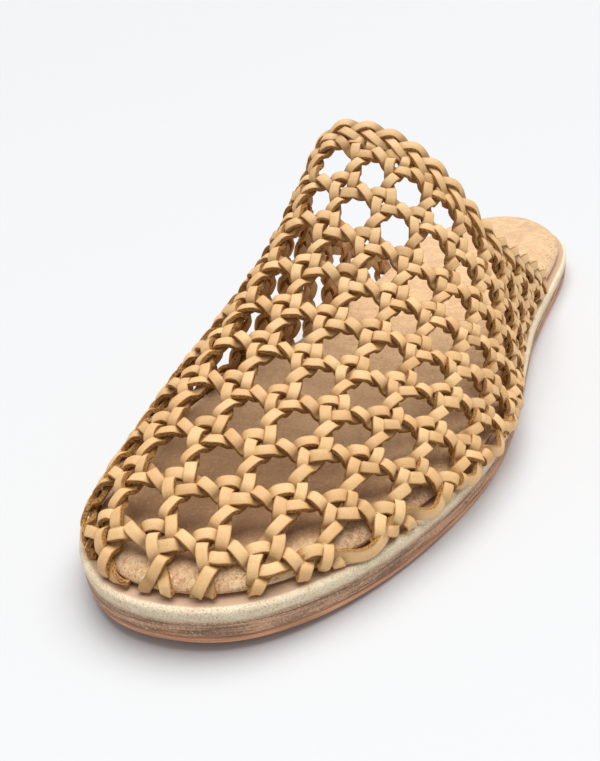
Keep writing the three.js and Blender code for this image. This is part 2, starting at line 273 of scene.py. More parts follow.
class BraidSettings(bpy.types.PropertyGroup):
    """Sizes of the three-strand braid along the collar."""

    spread: length_setting("Spread", "Reach of a strand to each side of the braid's middle", 0.0026)
    turn: length_setting("Turn", "Length in which a strand comes back to the same side", 0.023)
    relief: length_setting("Relief", "How far a strand rises and dips", 0.0009)
    width: length_setting("Width", "Width of a strand", 0.0027)


class SoleSettings(bpy.types.PropertyGroup):
    """Colours of the sole's layers and of the insole."""

    insole: colour_setting("Insole", "Colour of the brushed insole", (0.98, 0.6, 0.325))
    midsole: colour_setting("Midsole", "Colour of the pale layer", (1.0, 0.79, 0.54))
    layer: colour_setting("Layer", "Colour of the brown layer", (0.5, 0.29, 0.18))
    outsole: colour_setting("Outsole", "Colour of the outsole", (0.71, 0.36, 0.205))


class StageSettings(bpy.types.PropertyGroup):
    """Camera, floor and light."""

    azimuth: angle_setting("Azimuth", "Turn of the view about the vertical", 121.11)
    elevation: angle_setting("Elevation", "Height of the view", 28.01)
    roll: angle_setting("Roll", "Turn of the camera about its own axis", -5.84)
    distance: length_setting("Distance", "From the camera to its target", 0.24824)
    target: FloatVectorProperty(
        name="Target", description="Point that the camera looks at, from the heel's back end",
        default=(0.1692, -0.0157, 0.01388), size=3, subtype="XYZ_LENGTH")
    lens: FloatProperty(name="Lens", description="Focal length in millimetres", default=40.21)
    floor: colour_setting("Floor", "Colour of the floor", (0.715, 0.722, 0.735))
    sky: FloatProperty(name="Sky", description="Strength of the light from all round", default=0.4)
    key: FloatProperty(name="Key light", description="Strength of the broad light overhead", default=3.1)
    spread: angle_setting("Spread", "Angle that the broad light fills", 60)


# The last

def natural_spline(knots, values):
    """Natural cubic spline through (knots, values): the second derivatives solve one linear system."""
    gaps = np.diff(knots)
    inner = np.arange(1, len(knots) - 1)
    system = np.eye(len(knots))
    system[inner, inner - 1] = gaps[:-1]
    system[inner, inner] = 2 * (gaps[:-1] + gaps[1:])
    system[inner, inner + 1] = gaps[1:]
    right = np.zeros(len(knots))
    right[inner] = 6 * np.diff(np.diff(values) / gaps)
    bend = np.linalg.solve(system, right)

    def curve(x):
        k = np.clip(np.searchsorted(knots, x) - 1, 0, len(knots) - 2)
        a = (knots[k + 1] - x) / gaps[k]
        b = 1 - a
        cubic = (a ** 3 - a) * bend[k] + (b ** 3 - b) * bend[k + 1]
        return a * values[k] + b * values[k + 1] + cubic * gaps[k] ** 2 / 6

    return curve


def around(station):
    """Share of the length as a share of a half circle, which rounds both ends of the outline."""
    return np.arccos(1 - 2 * np.clip(station, 0, 1)) / np.pi


outer_width = natural_spline(around(STATION), OUTER)
inner_width = natural_spline(around(STATION), INNER)
ridge_height = natural_spline(np.sqrt(RIDGE_BACK), RIDGE_HEIGHT)
inner_bulge = natural_spline(BULGE_BACK, INNER_BULGE)
outer_spread = natural_spline(SPREAD_BACK, OUTER_SPREAD)


def mix(low, high, share):
    """Straight line from low to high."""
    return low + (high - low) * share


def smooth(low, high, value):
    """Smooth step from 0 at low to 1 at high."""
    share = np.clip((value - low) / (high - low), 0, 1)
    return share * share * (3 - 2 * share)


def unit(vectors):
    """Vectors at length 1."""
    return vectors / np.maximum(np.linalg.norm(vectors, axis=-1, keepdims=True), 1e-12)


def swing(x):
    """Sideways swing of the centre line: a parabola from SWING_START to the toe."""
    return TOE_SWING * np.maximum(0, (x - SWING_START) / (LENGTH - SWING_START)) ** 2


def lift(x):
    """Lift of the sole: a low arch under the waist, sine squared, and a parabola at the toe."""
    toe = np.clip((x - SPRING_START) / (LENGTH - SPRING_START), 0, 1)
    waist = np.clip((x - ARCH_BACK) / (ARCH_FRONT - ARCH_BACK), 0, 1)
    return TOE_SPRING * toe ** 2 + ARCH_LIFT * np.sin(np.pi * waist) ** 2


def rounded_shares(steps):
    """Shares of the length in so many steps, which a cosine crowds towards both ends."""
    return 0.5 - 0.5 * np.cos(np.pi * np.linspace(0, 1, steps + 1))


def outline(share, inset):
    """Station and both sides of the sole's outline, drawn in by inset, at a share of its length."""
    x = inset + share * (LENGTH - 2 * inset)
    scale = 1 - inset / SCALE_WIDTH
    turn = around(share)
    return x, swing(x) + outer_width(turn) * scale, swing(x) - inner_width(turn) * scale


def upper_point(x, angle, depth=0.0):
    """Point of the upper.

    Across a section the width goes as cos(angle) and the rise as sin(angle) ** FLANK."""
    share = np.clip((x - FOOT_INSET) / (LENGTH - 2 * FOOT_INSET), 0, 1)
    at, outer, inner = outline(share, FOOT_INSET + depth)
    ridge = mix(swing(at), inner, RIDGE_SHARE + RIDGE_TURN * (x - RIDGE_STATION))
    back = np.clip(UPPER_TOE - x, 0, RIDGE_BACK[-1])
    full = ridge_height(np.sqrt(back))
    height = full - depth * np.minimum(1, full / THIN_RISE)
    on_outer = angle < np.pi / 2
    near = np.minimum(back, BULGE_END)
    outer = outer + outer_spread(near)
    swell = np.where(on_outer, BULGE_OUTER, -inner_bulge(near))
    bulge = swell * np.minimum(1, full / BULGE_RISE) * np.abs(np.sin(2 * angle))
    y = mix(ridge, np.where(on_outer, outer, inner), np.abs(np.cos(angle))) + bulge
    z = lift(at) + FOOT_HEIGHT + height * np.abs(np.sin(angle)) ** FLANK
    return np.stack(np.broadcast_arrays(at, y, z), -1)


def collar_station(angle, reach):
    """Station of the collar's edge at reach 0, and of the line where the weave meets the braid at 1."""
    lean = np.abs(np.cos(angle))
    edge = mix(COLLAR_TOP, COLLAR_FOOT, lean ** COLLAR_SWEEP)
    return edge + reach * BRAID_REACH * (1 + lean ** BRAID_WIDENING)


def running_length(points):
    """Length along rows of points, from 0 at each row's start."""
    steps = np.linalg.norm(np.diff(points, axis=-2), axis=-1)
    start = np.zeros(steps.shape[:-1] + (1,))
    return np.concatenate([start, np.cumsum(steps, -1)], -1)


# Length along the ridge from the toe, at stations that crowd towards the toe
RIDGE_REACH = 190.0
RIDGE_CROWDING = 1.8
RIDGE_SAMPLES = 400
RIDGE_STATIONS = UPPER_TOE - RIDGE_REACH * np.linspace(0, 1, RIDGE_SAMPLES) ** RIDGE_CROWDING
RIDGE_RUN = running_length(upper_point(RIDGE_STATIONS, np.full(RIDGE_SAMPLES, np.pi / 2)))


def levelled(count):
    """Count of rows or columns that levels off at BEND_REACH to either side."""
    return BEND_REACH * np.tanh(count / BEND_REACH)


def locate(column, row):
    """Station, angle and distance inside the foot line of places in the weave.

    Rows are counted along the ridge from the toe, and columns by the length across a section from the
    ridge. Both bend by the squares and the product of their counts, which level off far out."""
    bend_column = levelled(column)
    bend_row = levelled(row - MIDDLE_ROW)
    along = ROW_START + ROW_PITCH * row + ROW_SLANT * column
    along = along + ROW_BOW * bend_column ** 2 + ROW_FAN * bend_column * bend_row
    off_ridge = COLUMN_START + COLUMN_PITCH * column
    off_ridge = off_ridge + COLUMN_BOW * bend_row ** 2 + COLUMN_SHIFT * bend_column ** 2
    x = np.interp(np.maximum(along, 0), RIDGE_RUN, RIDGE_STATIONS)
    run = running_length(upper_point(x[..., None], ANGLES))
    across = run[..., len(ANGLES) // 2] - off_ridge
    inside = np.minimum(np.minimum(across, run[..., -1] - across), along)
    k = np.clip((run < across[..., None]).sum(-1) - 1, 0, len(ANGLES) - 2)
    low, high = (np.take_along_axis(run, k[..., None] + step, -1)[..., 0] for step in (0, 1))
    share = np.clip((across - low) / np.maximum(high - low, 1e-9), 0, 1)
    return x, ANGLES[k] + share * ANGLES[1], inside


def foot_flare(x, angle):
    """How far the strips' feet stand out: most along the sides of the forefoot."""
    back = UPPER_TOE - x
    beside = smooth(*FLARE_GROWTH, back) * smooth(*FLARE_END, back)
    outer = mix(OUTER_FLARE, BALL_FLARE, smooth(*BALL_GROWTH, back))
    return mix(TOE_FLARE, np.where(angle < np.pi / 2, outer, INNER_FLARE), beside)


def weave_point(column, row, depth):
    """Point of the weave's middle surface, which folds in towards the insole at the foot.

    It flares out a little above the foot line, follows a quarter circle from FOLD_START, and then goes
    straight in."""
    x, angle, inside = locate(column, row)
    point = upper_point(x, angle, depth)
    inward = upper_point(x, angle, depth + 1) - point
    inward = unit(inward * [1, 1, 0])
    past = np.maximum(FOLD_START - inside, 0)
    turn = np.minimum(past / FOLD_RADIUS, np.pi / 2)
    drawn = FOLD_RADIUS * (1 - np.cos(turn)) + np.maximum(past - FOLD_RADIUS * np.pi / 2, 0)
    drawn = drawn - foot_flare(x, angle) * smooth(FLARE_START, FOLD_START, inside)
    point = point + inward * drawn[..., None]
    point[..., 2] += np.minimum(past, FOLD_START) - FOLD_RADIUS * np.sin(turn)
    return point


def weave_normal(column, row, depth):
    """Outward normal of the weave's surface: the cross product of its steps along columns and rows.

    A small share of the direction away from the shoe's core is added."""
    step = 0.03
    along_columns = weave_point(column + step, row, depth) - weave_point(column - step, row, depth)
    along_rows = weave_point(column, row + step, depth) - weave_point(column, row - step, depth)
    point = weave_point(column, row, depth)
    core = point - [CORE_BACK, 0, 0]
    core[..., 1] = swing(point[..., 0])
    core[..., 2] = CORE_HEIGHT
    return unit(unit(np.cross(along_columns, along_rows)) + CORE_SHARE * unit(point - core))


def to_frame(points):
    """Moves points from the last's millimetres into the packed frame's metres."""
    _, outer, inner = outline(rounded_shares(PACKED_STATIONS), 0.0)
    middle = np.array([LENGTH / 2, (outer.max() + inner.min()) / 2, 0.0])
    return (points - middle) * MM


# Meshes

def grid_quads(rows, columns):
    """Quads between rows of points that close on themselves, facing away from the grid's inside."""
    row, column = np.meshgrid(np.arange(rows - 1), np.arange(columns), indexing="ij")
    after = (column + 1) % columns
    corners = (row * columns + column, (row + 1) * columns + column,
               (row + 1) * columns + after, row * columns + after)
    return np.stack(corners, -1).reshape(-1, 4)


def make_piece(name, points, faces, point_values, face_values, uv, sharp=35):
    """Mesh object from points, groups of faces with the same number of corners, values and corner UVs."""
    mesh = bpy.data.meshes.new(name)
    corners = np.concatenate([group.ravel() for group in faces])
    sizes = np.concatenate([np.full(len(group), group.shape[1]) for group in faces])
    mesh.vertices.add(len(points))
    mesh.vertices.foreach_set("co", to_frame(points).astype(np.float32).ravel())
    mesh.loops.add(len(corners))
    mesh.loops.foreach_set("vertex_index", corners.astype(np.int32))
    mesh.polygons.add(len(sizes))
    mesh.polygons.foreach_set("loop_start", (np.cumsum(sizes) - sizes).astype(np.int32))
    mesh.update(calc_edges=True)
    for domain, group in (("POINT", point_values), ("FACE", face_values)):
        for key, values in group.items():
            mesh.attributes.new(key, "FLOAT", domain).data.foreach_set("value", values.astype(np.float32))
    layer = mesh.uv_layers.new(name="length_and_girth")
    layer.data.foreach_set("uv", uv.astype(np.float32).ravel())
    mesh.polygons.foreach_set("use_smooth", np.ones(len(sizes), bool))
    mesh.set_sharp_from_angle(angle=math.radians(sharp))
    if mesh.validate():
        raise RuntimeError(f"{name} has bad faces")
    piece = bpy.data.objects.new(name, mesh)
    bpy.context.scene.collection.objects.link(piece)
    return piece


def sole_rings(height, inset, follow):
    """Rings round a sole layer, one for each point of its side: there on the outer side, back on the inner.

    The outer side follows the upper's by a share of the upper's spread."""
    x, outer, inner = outline(rounded_shares(STATIONS)[None], inset[:, None])
    outer = outer + follow * outer_spread(np.clip(UPPER_TOE - x, 0, BULGE_END))
    z = lift(x) + height[:, None]
    there = np.stack([x, outer, z], -1)
    back = np.stack([x, inner, z], -1)[:, -2:0:-1]
    return np.concatenate([there, back], 1)


def sole_faces(rows, count):
    """Faces of a sole layer: quads round its side, and a lid below and above of strips and two tips."""
    step = np.arange(1, STATIONS - 1)
    lid = np.stack([step, step + 1, count - step - 1, count - step], -1)
    tips = np.array([[0, 1, count - 1], [STATIONS - 1, STATIONS, STATIONS + 1]])
    top = (rows - 1) * count
    return [grid_quads(rows, count), lid, top + lid[:, ::-1], tips, top + tips[:, ::-1]]


def sole_uv(rings, faces):
    """Corner UVs of a sole layer: the length round its rings, closed at the seam, and that up its side."""
    rows, count = rings.shape[:2]
    girth = running_length(np.concatenate([rings, rings[:, :1]], 1).mean(0))
    rise = running_length(rings.transpose(1, 0, 2)).mean(0)
    corner = np.concatenate([group.ravel() for group in faces])
    uv = np.stack([girth[corner % count], rise[corner // count]], -1)
    seam = uv[:faces[0].size].reshape(rows - 1, count, 4, 2)[:, -1, :, 0]
    seam[seam == 0] = girth[-1]
    return uv * MM


def sole_piece(name, side, follow=0.0):
    """Layer of the sole: its side profile carried round the outline, with a lid at each end."""
    height, inset = np.array(side).T
    rings = sole_rings(height, inset, follow)
    rows, count = rings.shape[:2]
    faces = sole_faces(rows, count)
    values = {"level": np.repeat(height, count), "inside": np.repeat(inset, count)}
    return make_piece(name, rings.reshape(-1, 3), faces, values, {}, sole_uv(rings, faces))


def ribbon(centre, out, roll, width, thickness):
    """Rings of a strip: its section, of a width that changes along its path, turned to out and rolled."""
    ahead = unit(np.gradient(centre, axis=0))
    side = unit(np.cross(out, ahead))
    up = np.cross(ahead, side)
    cos, sin = np.cos(roll)[:, None], np.sin(roll)[:, None]
    side, up = side * cos + up * sin, up * cos - side * sin
    aside = width[:, None, None] * STRIP_SECTION[:, :1] / 2
    above = thickness * STRIP_SECTION[:, 1:] / 2
    return centre[:, None] + side[:, None] * aside + up[:, None] * above


def strip_uv(length, girth):
    """Corner UVs of a strip's quads: the length along its path and the girth round its section."""
    u = np.stack([length[:-1], length[1:], length[1:], length[:-1]], -1)
    v = np.stack([girth[:-1], girth[:-1], girth[1:], girth[1:]], -1)
    return np.stack(np.broadcast_arrays(u[:, None], v[None]), -1).reshape(-1, 2)


def strips_piece(name, runs, width, thickness):
    """One mesh of many strips. Each run gives a path, its outward direction, its wave and its tone."""
    count = len(STRIP_SECTION)
    girth = running_length(np.concatenate([STRIP_SECTION, STRIP_SECTION[:1]]) * [width / 2, thickness / 2])
    border = np.abs(STRIP_SECTION[:, 0]) ** 3
    points, quads, caps, uv = [], [], [], []
    values = {"crest": [], "border": [], "tone": []}
    start = 0
    for run in runs:
        rings = ribbon(run["centre"], run["out"], run["roll"], width * run["broad"], thickness)
        rows = len(rings)
        points.append(rings.reshape(-1, 3))
        quads.append(grid_quads(rows, count) + start)
        ends = np.stack([np.arange(count), np.arange(count)[::-1] + (rows - 1) * count])
        caps.append(ends + start)
        values["crest"].append(np.repeat(run["crest"], count))
        values["border"].append(np.tile(border, rows))
        values["tone"].append(np.full(rows * count, run["tone"]))
        uv.append(strip_uv(running_length(run["centre"]) + run["offset"], girth))
        start += rows * count
    faces = [np.concatenate(quads), np.concatenate(caps)]
    uv.append(np.zeros((faces[1].size, 2)))
    sides = np.tile(np.arange(count), len(faces[0]) // count)
    ends = len(faces[1])
    face_values = {
        "raw": np.concatenate([RAW_SIDES[sides], np.ones(ends)]),
        "flesh": np.concatenate([FLESH_SIDES[sides], np.zeros(ends)]),
    }
    values = {key: np.concatenate(parts) for key, parts in values.items()}
    return make_piece(
        name, np.concatenate(points), faces, values, face_values, np.concatenate(uv) * MM, sharp=50)


# Paths of the strips

def runs_of(mask, least):
    """Slices of a row where it is true for at least so many samples."""
    padded = np.concatenate([[False], mask, [False]])
    edges = np.flatnonzero(padded[1:] != padded[:-1]).reshape(-1, 2)
    return [slice(a, b) for a, b in edges if b - a >= least]


def resample(rows, run, places):
    """Points or directions at other places along their run."""
    return np.stack([np.interp(places, run, part) for part in rows.T], -1)


def waver(t, phases, waves):
    """Sum of sine waves along t, each with its own pace, size and phase."""
    return sum(size * np.sin(pace * t + phase) for phase, (pace, size) in zip(phases, waves))


def even_run(centre, out, crest, rng):
    """Run of a strip that keeps its width and doesn't roll."""
    return {
        "centre": centre,
        "out": out,
        "roll": np.zeros(len(centre)),
        "crest": crest,
        "tone": rng.uniform(),
        "broad": np.ones(len(centre)),
        "offset": rng.uniform(0, GRAIN_LENGTH),
    }


def weave_lines(crosswise, strips, rng):
    """Columns, rows, waves, rolls and breadths along the weave's strips in one direction.

    Two strips share each line. At the place t along it a strip lies cos(pi (t - start)) sixths of a pitch
    to one side, and goes as cos(3 pi (t - start + 1/6)) above and below the middle, so it passes over and
    under all that it crosses in turn. Past the last row at the toe the lengthwise strips cross once more
    and spread. The lines drift in slow waves, and each strip a little in its own."""
    span, lines = (COLUMNS, ROWS) if crosswise else ((-ROWS[1], -ROWS[0]), COLUMNS)
    t = np.arange(span[0] * STEPS, span[1] * STEPS + 1) / STEPS
    line = np.repeat(np.arange(lines[0], lines[1] + 1), 2)[:, None]
    start = np.tile([0, 1], len(line) // 2)[:, None]
    shared = np.repeat(rng.uniform(0, 2 * np.pi, (2, len(line) // 2, 1)), 2, axis=1)
    own = rng.uniform(0, 2 * np.pi, (6,) + line.shape)
    drift = strips.drift * waver(t, shared, LINE_DRIFT) + waver(t, own[:2], STRIP_DRIFT)
    roll = strips.roll * waver(t, own[2:4], STRIP_ROLL)
    broad = 1 + waver(t, own[4:], STRIP_BREADTH)
    loose = np.zeros(len(t)) if crosswise else smooth(*TOE_LOOSE, t)
    turn = t if crosswise else np.minimum(t, 1)
    place = line + np.cos(np.pi * (turn - start)) / 6 * (1 + TOE_SPREAD * loose) + drift
    column, row = np.broadcast_arrays(t, place) if crosswise else np.broadcast_arrays(place, -t)
    wave = np.cos(3 * np.pi * (t - start + 1 / 6))
    wave = np.tanh(PLATEAU * wave) / np.tanh(PLATEAU) * (1 - loose)
    return column, row, wave, roll, broad


def weave_runs(crosswise, strips, rng):
    """Paths of the weave's strips in one direction, from foot to foot or from the foot to the collar.

    At the collar a strip tucks in behind the braid. A strip that runs beside the foot line sinks behind
    the others and ends there."""
    column, row, wave, roll, broad = weave_lines(crosswise, strips, rng)
    depth = strips.depth / MM
    x, angle, inside = locate(column, row)
    edge = collar_station(angle, 0)
    reach = (x - edge) / (collar_station(angle, 1) - edge)
    steep = smooth(*STEEPNESS, np.abs(np.gradient(inside, axis=1)) * STEPS)
    shown = (inside > mix(*STRIP_END, steep)) & (reach > TUCK_END)
    sunk = SINK * (1 - steep) * smooth(*SINK_RANGE, inside)
    tucked = smooth(*TUCK_RANGE, reach)
    calm = (1 - TUCK_CALM * tucked) * smooth(*CALM_RANGE, inside)
    rise = strips.relief / MM * wave * calm - TUCK * tucked - sunk
    least = LEAST_CROSSWISE if crosswise else LEAST_LENGTHWISE
    runs = []
    for k in range(len(wave)):
        for part in runs_of(shown[k], LEAST_SAMPLES):
            if inside[k, part].max() < least:
                continue
            spot = column[k, part], row[k, part]
            out = weave_normal(*spot, depth)
            runs.append({
                "centre": weave_point(*spot, depth) + out * rise[k, part, None],
                "out": out,
                "roll": roll[k, part],
                "crest": wave[k, part],
                "tone": rng.uniform(),
                "broad": broad[k, part] * rng.uniform(*BREADTHS),
                "offset": rng.uniform(0, GRAIN_LENGTH),
            })
    return runs


def rows_along_foot(outer, back):
    """Count of the weave's rows along the foot of one side, at distances back from the toe."""
    column = np.arange(*COLUMNS, SEARCH_STEP)
    row = np.arange(ROWS[0], ROWS[1] + 1.0)
    station, angle, inside = locate(*np.meshgrid(column, row))
    off = np.where((angle < np.pi / 2) == outer, np.abs(inside - FOOT_STRIP_RISE), np.inf)
    meets = off.min(1) < ROW_MISS
    crossing = station[np.arange(len(row)), off.argmin(1)][meets]
    order = np.argsort(crossing)
    return np.interp(UPPER_TOE - back, crossing[order], row[meets][order])


def foot_runs(strips, rng):
    """Paths of the strips that lie along the feet of the weave, one on each side.

    In each gap between two rows such a strip hangs low over the ledge, and at each row it rises behind
    the crosswise strips, as the cosine of the count of rows."""
    depth = strips.depth / MM
    runs = []
    for outer in (True, False):
        back = np.arange(*FOOT_STRIP_REACH, SPACING)
        count = rows_along_foot(outer, back)
        whole = (count >= np.ceil(count.min())) & (count <= np.floor(count.max()))
        back, count = back[whole], count[whole]
        x = UPPER_TOE - back
        wave = -np.cos(2 * np.pi * count)
        rise = FOOT_STRIP_RISE - FOOT_STRIP_SWING * wave
        angle = np.arcsin((rise / ridge_height(np.sqrt(back))) ** (1 / FLANK))
        angle = angle if outer else np.pi - angle
        point = upper_point(x, angle, depth)
        outward = unit((point - upper_point(x, angle, depth + 1)) * [1, 1, 0])
        push = foot_flare(x, angle) + strips.relief / MM * wave
        out = unit(outward + [0, 0, FOOT_STRIP_LEAN])
        runs.append(even_run(point + outward * push[:, None], out, wave, rng))
    return runs


def braid_line():
    """Middle line of the braid with a straight foot at each end, its outward directions and its leans."""
    angle = np.linspace(0, np.pi, BRAID_SAMPLES)
    station = collar_station(angle, BRAID_MIDDLE)
    middle = upper_point(station, angle, BRAID_DEPTH)
    turn, step = 1e-3, 0.2
    after, before = np.minimum(angle + turn, np.pi), np.maximum(angle - turn, 0)
    across = upper_point(station, after) - upper_point(station, before)
    along = upper_point(station + step, angle) - upper_point(station - step, angle)
    out = unit(np.cross(across, along))
    down = BRAID_FOOT[:, None] * [0, 0, -1]
    middle = np.concatenate([middle[:1] + down, middle, middle[-1:] + down[::-1]])
    feet = len(BRAID_FOOT)
    out = np.pad(out, ((feet, feet), (0, 0)), "edge")
    return middle, out, np.pad(np.abs(np.cos(angle)), feet, "edge")


def braid_runs(braid, rng):
    """Paths of the braid's three strands along the collar.

    Along the braid a strand lies cos(p) of the spread to one side and sin(2 p) of the relief above the
    middle, each strand a third of a turn after the last, so the outer one always passes over. The turns
    lengthen towards the foot, and each strand ends on the ledge."""
    middle, out, lean = braid_line()
    run = running_length(middle)
    places = np.arange(0, run[-1], SPACING)
    stretch = 1 + FOOT_STRETCH * np.interp(places, run, lean) ** STRETCH_SWEEP
    turns = np.cumsum(SPACING / (braid.turn / MM * stretch))
    middle = resample(middle, run, places)
    out = unit(resample(out, run, places))
    side = unit(np.cross(out, unit(np.gradient(middle, axis=0))))
    runs = []
    for strand in range(3):
        turn = 2 * np.pi * (turns + strand / 3)
        crest = np.sin(2 * turn)
        centre = middle + side * (braid.spread / MM * np.cos(turn))[:, None]
        centre = centre + out * (braid.relief / MM * crest)[:, None]
        part = runs_of(centre[:, 2] > lift(centre[:, 0]) + FOOT_HEIGHT, LEAST_SAMPLES)[0]
        runs.append(even_run(centre[part], out[part], crest[part], rng))
    return runs


# Materials

class Value:
    """A number that changes over a surface: arithmetic on it adds Math nodes."""

    def __init__(self, shader, socket):
        self.shader = shader
        self.socket = socket

    def math(self, operation, *values):
        return self.shader.node("ShaderNodeMath", {"operation": operation}, dict(enumerate(values)))

    def __add__(self, other):
        return self.math("ADD", self, other)

    def __sub__(self, other):
        return self.math("SUBTRACT", self, other)

    def __rsub__(self, other):
        return self.math("SUBTRACT", other, self)

    def __mul__(self, other):
        return self.math("MULTIPLY", self, other)

    __radd__ = __add__
    __rmul__ = __mul__


class Shader:
    """A material's node tree, with one method that makes any node."""

    def __init__(self, name):
        self.material = bpy.data.materials.new(name)
        self.material.use_nodes = True
        self.tree = self.material.node_tree
        self.tree.nodes.clear()

    def node(self, kind, settings=None, inputs=None, output=0):
        """Adds a node with its settings, fills its sockets with numbers or links, and gives one output."""
        node = self.tree.nodes.new(kind)
        for key, value in (settings or {}).items():
            setattr(node, key, value)
        for key, value in (inputs or {}).items():
            if isinstance(value, Value):
                self.tree.links.new(value.socket, node.inputs[key])
            else:
                node.inputs[key].default_value = value
        return Value(self, node.outputs[output]) if node.outputs else None

    def attribute(self, name):
        return self.node("ShaderNodeAttribute", {"attribute_name": name}, output="Fac")

    def position(self):
        return self.node("ShaderNodeTexCoord", output="Object")

    def along(self, stretch):
        """The piece's own length and girth, with the length drawn out by stretch."""
        uv = self.node("ShaderNodeUVMap", {"uv_map": "length_and_girth"})
        return self.node("ShaderNodeMapping", inputs={"Vector": uv, "Scale": (1 / stretch, 1, 1)})

    def noise(self, where, size, detail=2.0, roughness=0.5, warp=0.0):
        """Noise from 0 to 1 with features of a size in metres."""
        inputs = {"Vector": where, "Scale": 1 / size, "Detail": detail, "Roughness": roughness,
                  "Distortion": warp}
        return self.node("ShaderNodeTexNoise", inputs=inputs, output=0)

    def step(self, value, low, high, bottom=0.0, top=1.0):
        """Smooth change from bottom to top as the value goes from low to high."""
        inputs = {"Value": value, "From Min": low, "From Max": high, "To Min": bottom, "To Max": top}
        return self.node("ShaderNodeMapRange", {"interpolation_type": "SMOOTHSTEP"}, inputs)

    def blend(self, share, first, second):
        """Colour between two others."""
        first, second = (c if isinstance(c, Value) else (*c, 1.0) for c in (first, second))
        return self.node("ShaderNodeMix", {"data_type": "RGBA"}, {0: share, 6: first, 7: second}, output=2)

    def bump(self, height, strength, distance):
        inputs = {"Height": height, "Strength": strength, "Distance": distance}
        return self.node("ShaderNodeBump", inputs=inputs)

    def surface(self, inputs):
        """Principled surface with these inputs; returns the finished material."""
        shader = self.node("ShaderNodeBsdfPrincipled", inputs=inputs)
        self.node("ShaderNodeOutputMaterial", inputs={"Surface": shader})
        return self.material


def shade(colour, factor):
    """A colour made darker or lighter."""
    return tuple(min(1.0, part * factor) for part in colour)


def strip_leather(strips):
    """Smooth tan leather with fine pores, dark borders (burnish and painted contact shade), painted shade
    in its dips, raw fibrous edges and a brushed underside.
    """
    s = Shader("strip_leather")
    where = s.position()
    cloud = s.noise(where, 0.009, 3.0)
    mottle = s.noise(where, 0.0018, 3.0, 0.65)
    grain = s.noise(where, 0.00028, 2.0, 0.6)
    streak = s.noise(s.along(7.0), 0.0007, 3.0, 0.6)
    tone = 0.45 * s.attribute("tone") + 0.35 * cloud + 0.25 * mottle + 0.35 * streak
    face = s.blend(s.step(tone, 0.35, 0.95), tuple(strips.face), tuple(strips.face_light))
    face = s.blend(s.step(grain, 0.5, 0.3, 0, 0.3), face, shade(strips.face, 0.62))
    # Painted shade: the face darkens where a strip dives under the strips it crosses, standing in for
    # contact shadow
    dip_shade = s.step(s.attribute("crest"), 0.65, -0.55)
    face = s.blend(dip_shade * 0.62, face, shade(strips.raw, 0.7))
    # Darker borders along each face: partly the edges' own burnish, partly painted contact shade where
    # strips meet
    border = s.step(s.attribute("border") + 0.3 * streak, 0.55, 1.0)
    face = s.blend(border * 0.6, face, shade(strips.raw, 0.95))
    fibre = s.noise(s.along(1.5), 0.00035, 3.0, 0.65)
    raw = s.blend(s.step(fibre, 0.34, 0.62), shade(strips.raw, 0.3), shade(strips.raw, 1.4))
    flesh = s.blend(cloud, shade(strips.face, 0.42), shade(strips.face, 0.66))
    colour = s.blend(s.attribute("flesh"), face, flesh)
    colour = s.blend(s.attribute("raw"), colour, raw)
    coarse = s.attribute("raw") + 0.5 * s.attribute("flesh")
    height = (0.4 * grain + 0.3 * streak) * (1 - coarse) + fibre * coarse
    return s.surface({
        "Base Color": colour,
        "Roughness": 0.42 + 0.14 * mottle + 0.4 * coarse,
        "Normal": s.bump(height, 0.7, 0.0003),
        "Specular IOR Level": 0.4,
    })


def insole_suede(sole):
    """Brushed leather: a short nap in cloudy patches, roughest round its edge, with painted shade on its
    forepart where the upper covers it.
    """
    s = Shader("insole_suede")
    # Colour of the painted shade on the insole's forepart
    shadow_colour = (0.36, 0.145, 0.045)
    dark_nap = (0.46, 0.2, 0.08)
    pale_nap = (1.0, 0.78, 0.55)
    pore_colour = (0.38, 0.15, 0.055)
    where = s.position()
    patch = s.noise(where, 0.007, 5.0, 0.7, 0.8)
    nap = s.noise(where, 0.0011, 4.0, 0.75, 0.6)
    pores = s.noise(where, 0.00045, 2.0, 0.6)
    rough = s.step(s.attribute("inside"), 13.0, 6.0, 0.4, 1.0)
    along = s.node("ShaderNodeSeparateXYZ", None, {"Vector": where})
    # Painted shade: the insole's top darkens towards the toe, where the upper shades it
    forefoot_shade = s.step(along, 0.045, 0.09) * s.step(s.attribute("inside"), 8.0, 12.0)
    colour = s.blend(s.step(patch, 0.3, 0.7), shade(sole.insole, 0.84), shade(sole.insole, 1.14))
    colour = s.blend(forefoot_shade * (0.35 + 0.4 * patch), colour, shadow_colour)
    colour = s.blend(rough * s.step(nap, 0.5, 0.34, 0, 0.75), colour, dark_nap)
    colour = s.blend(rough * s.step(nap, 0.53, 0.66, 0, 0.75), colour, pale_nap)
    colour = s.blend(rough * s.step(pores, 0.46, 0.34, 0, 0.5), colour, pore_colour)
    return s.surface({
        "Base Color": colour,
        "Roughness": 0.8 + 0.14 * nap,
        "Normal": s.bump(nap + 0.5 * pores, 0.8, 0.0007),
        "Specular IOR Level": 0.25,
        "Sheen Weight": 0.25,
        "Sheen Roughness": 0.5,
    })


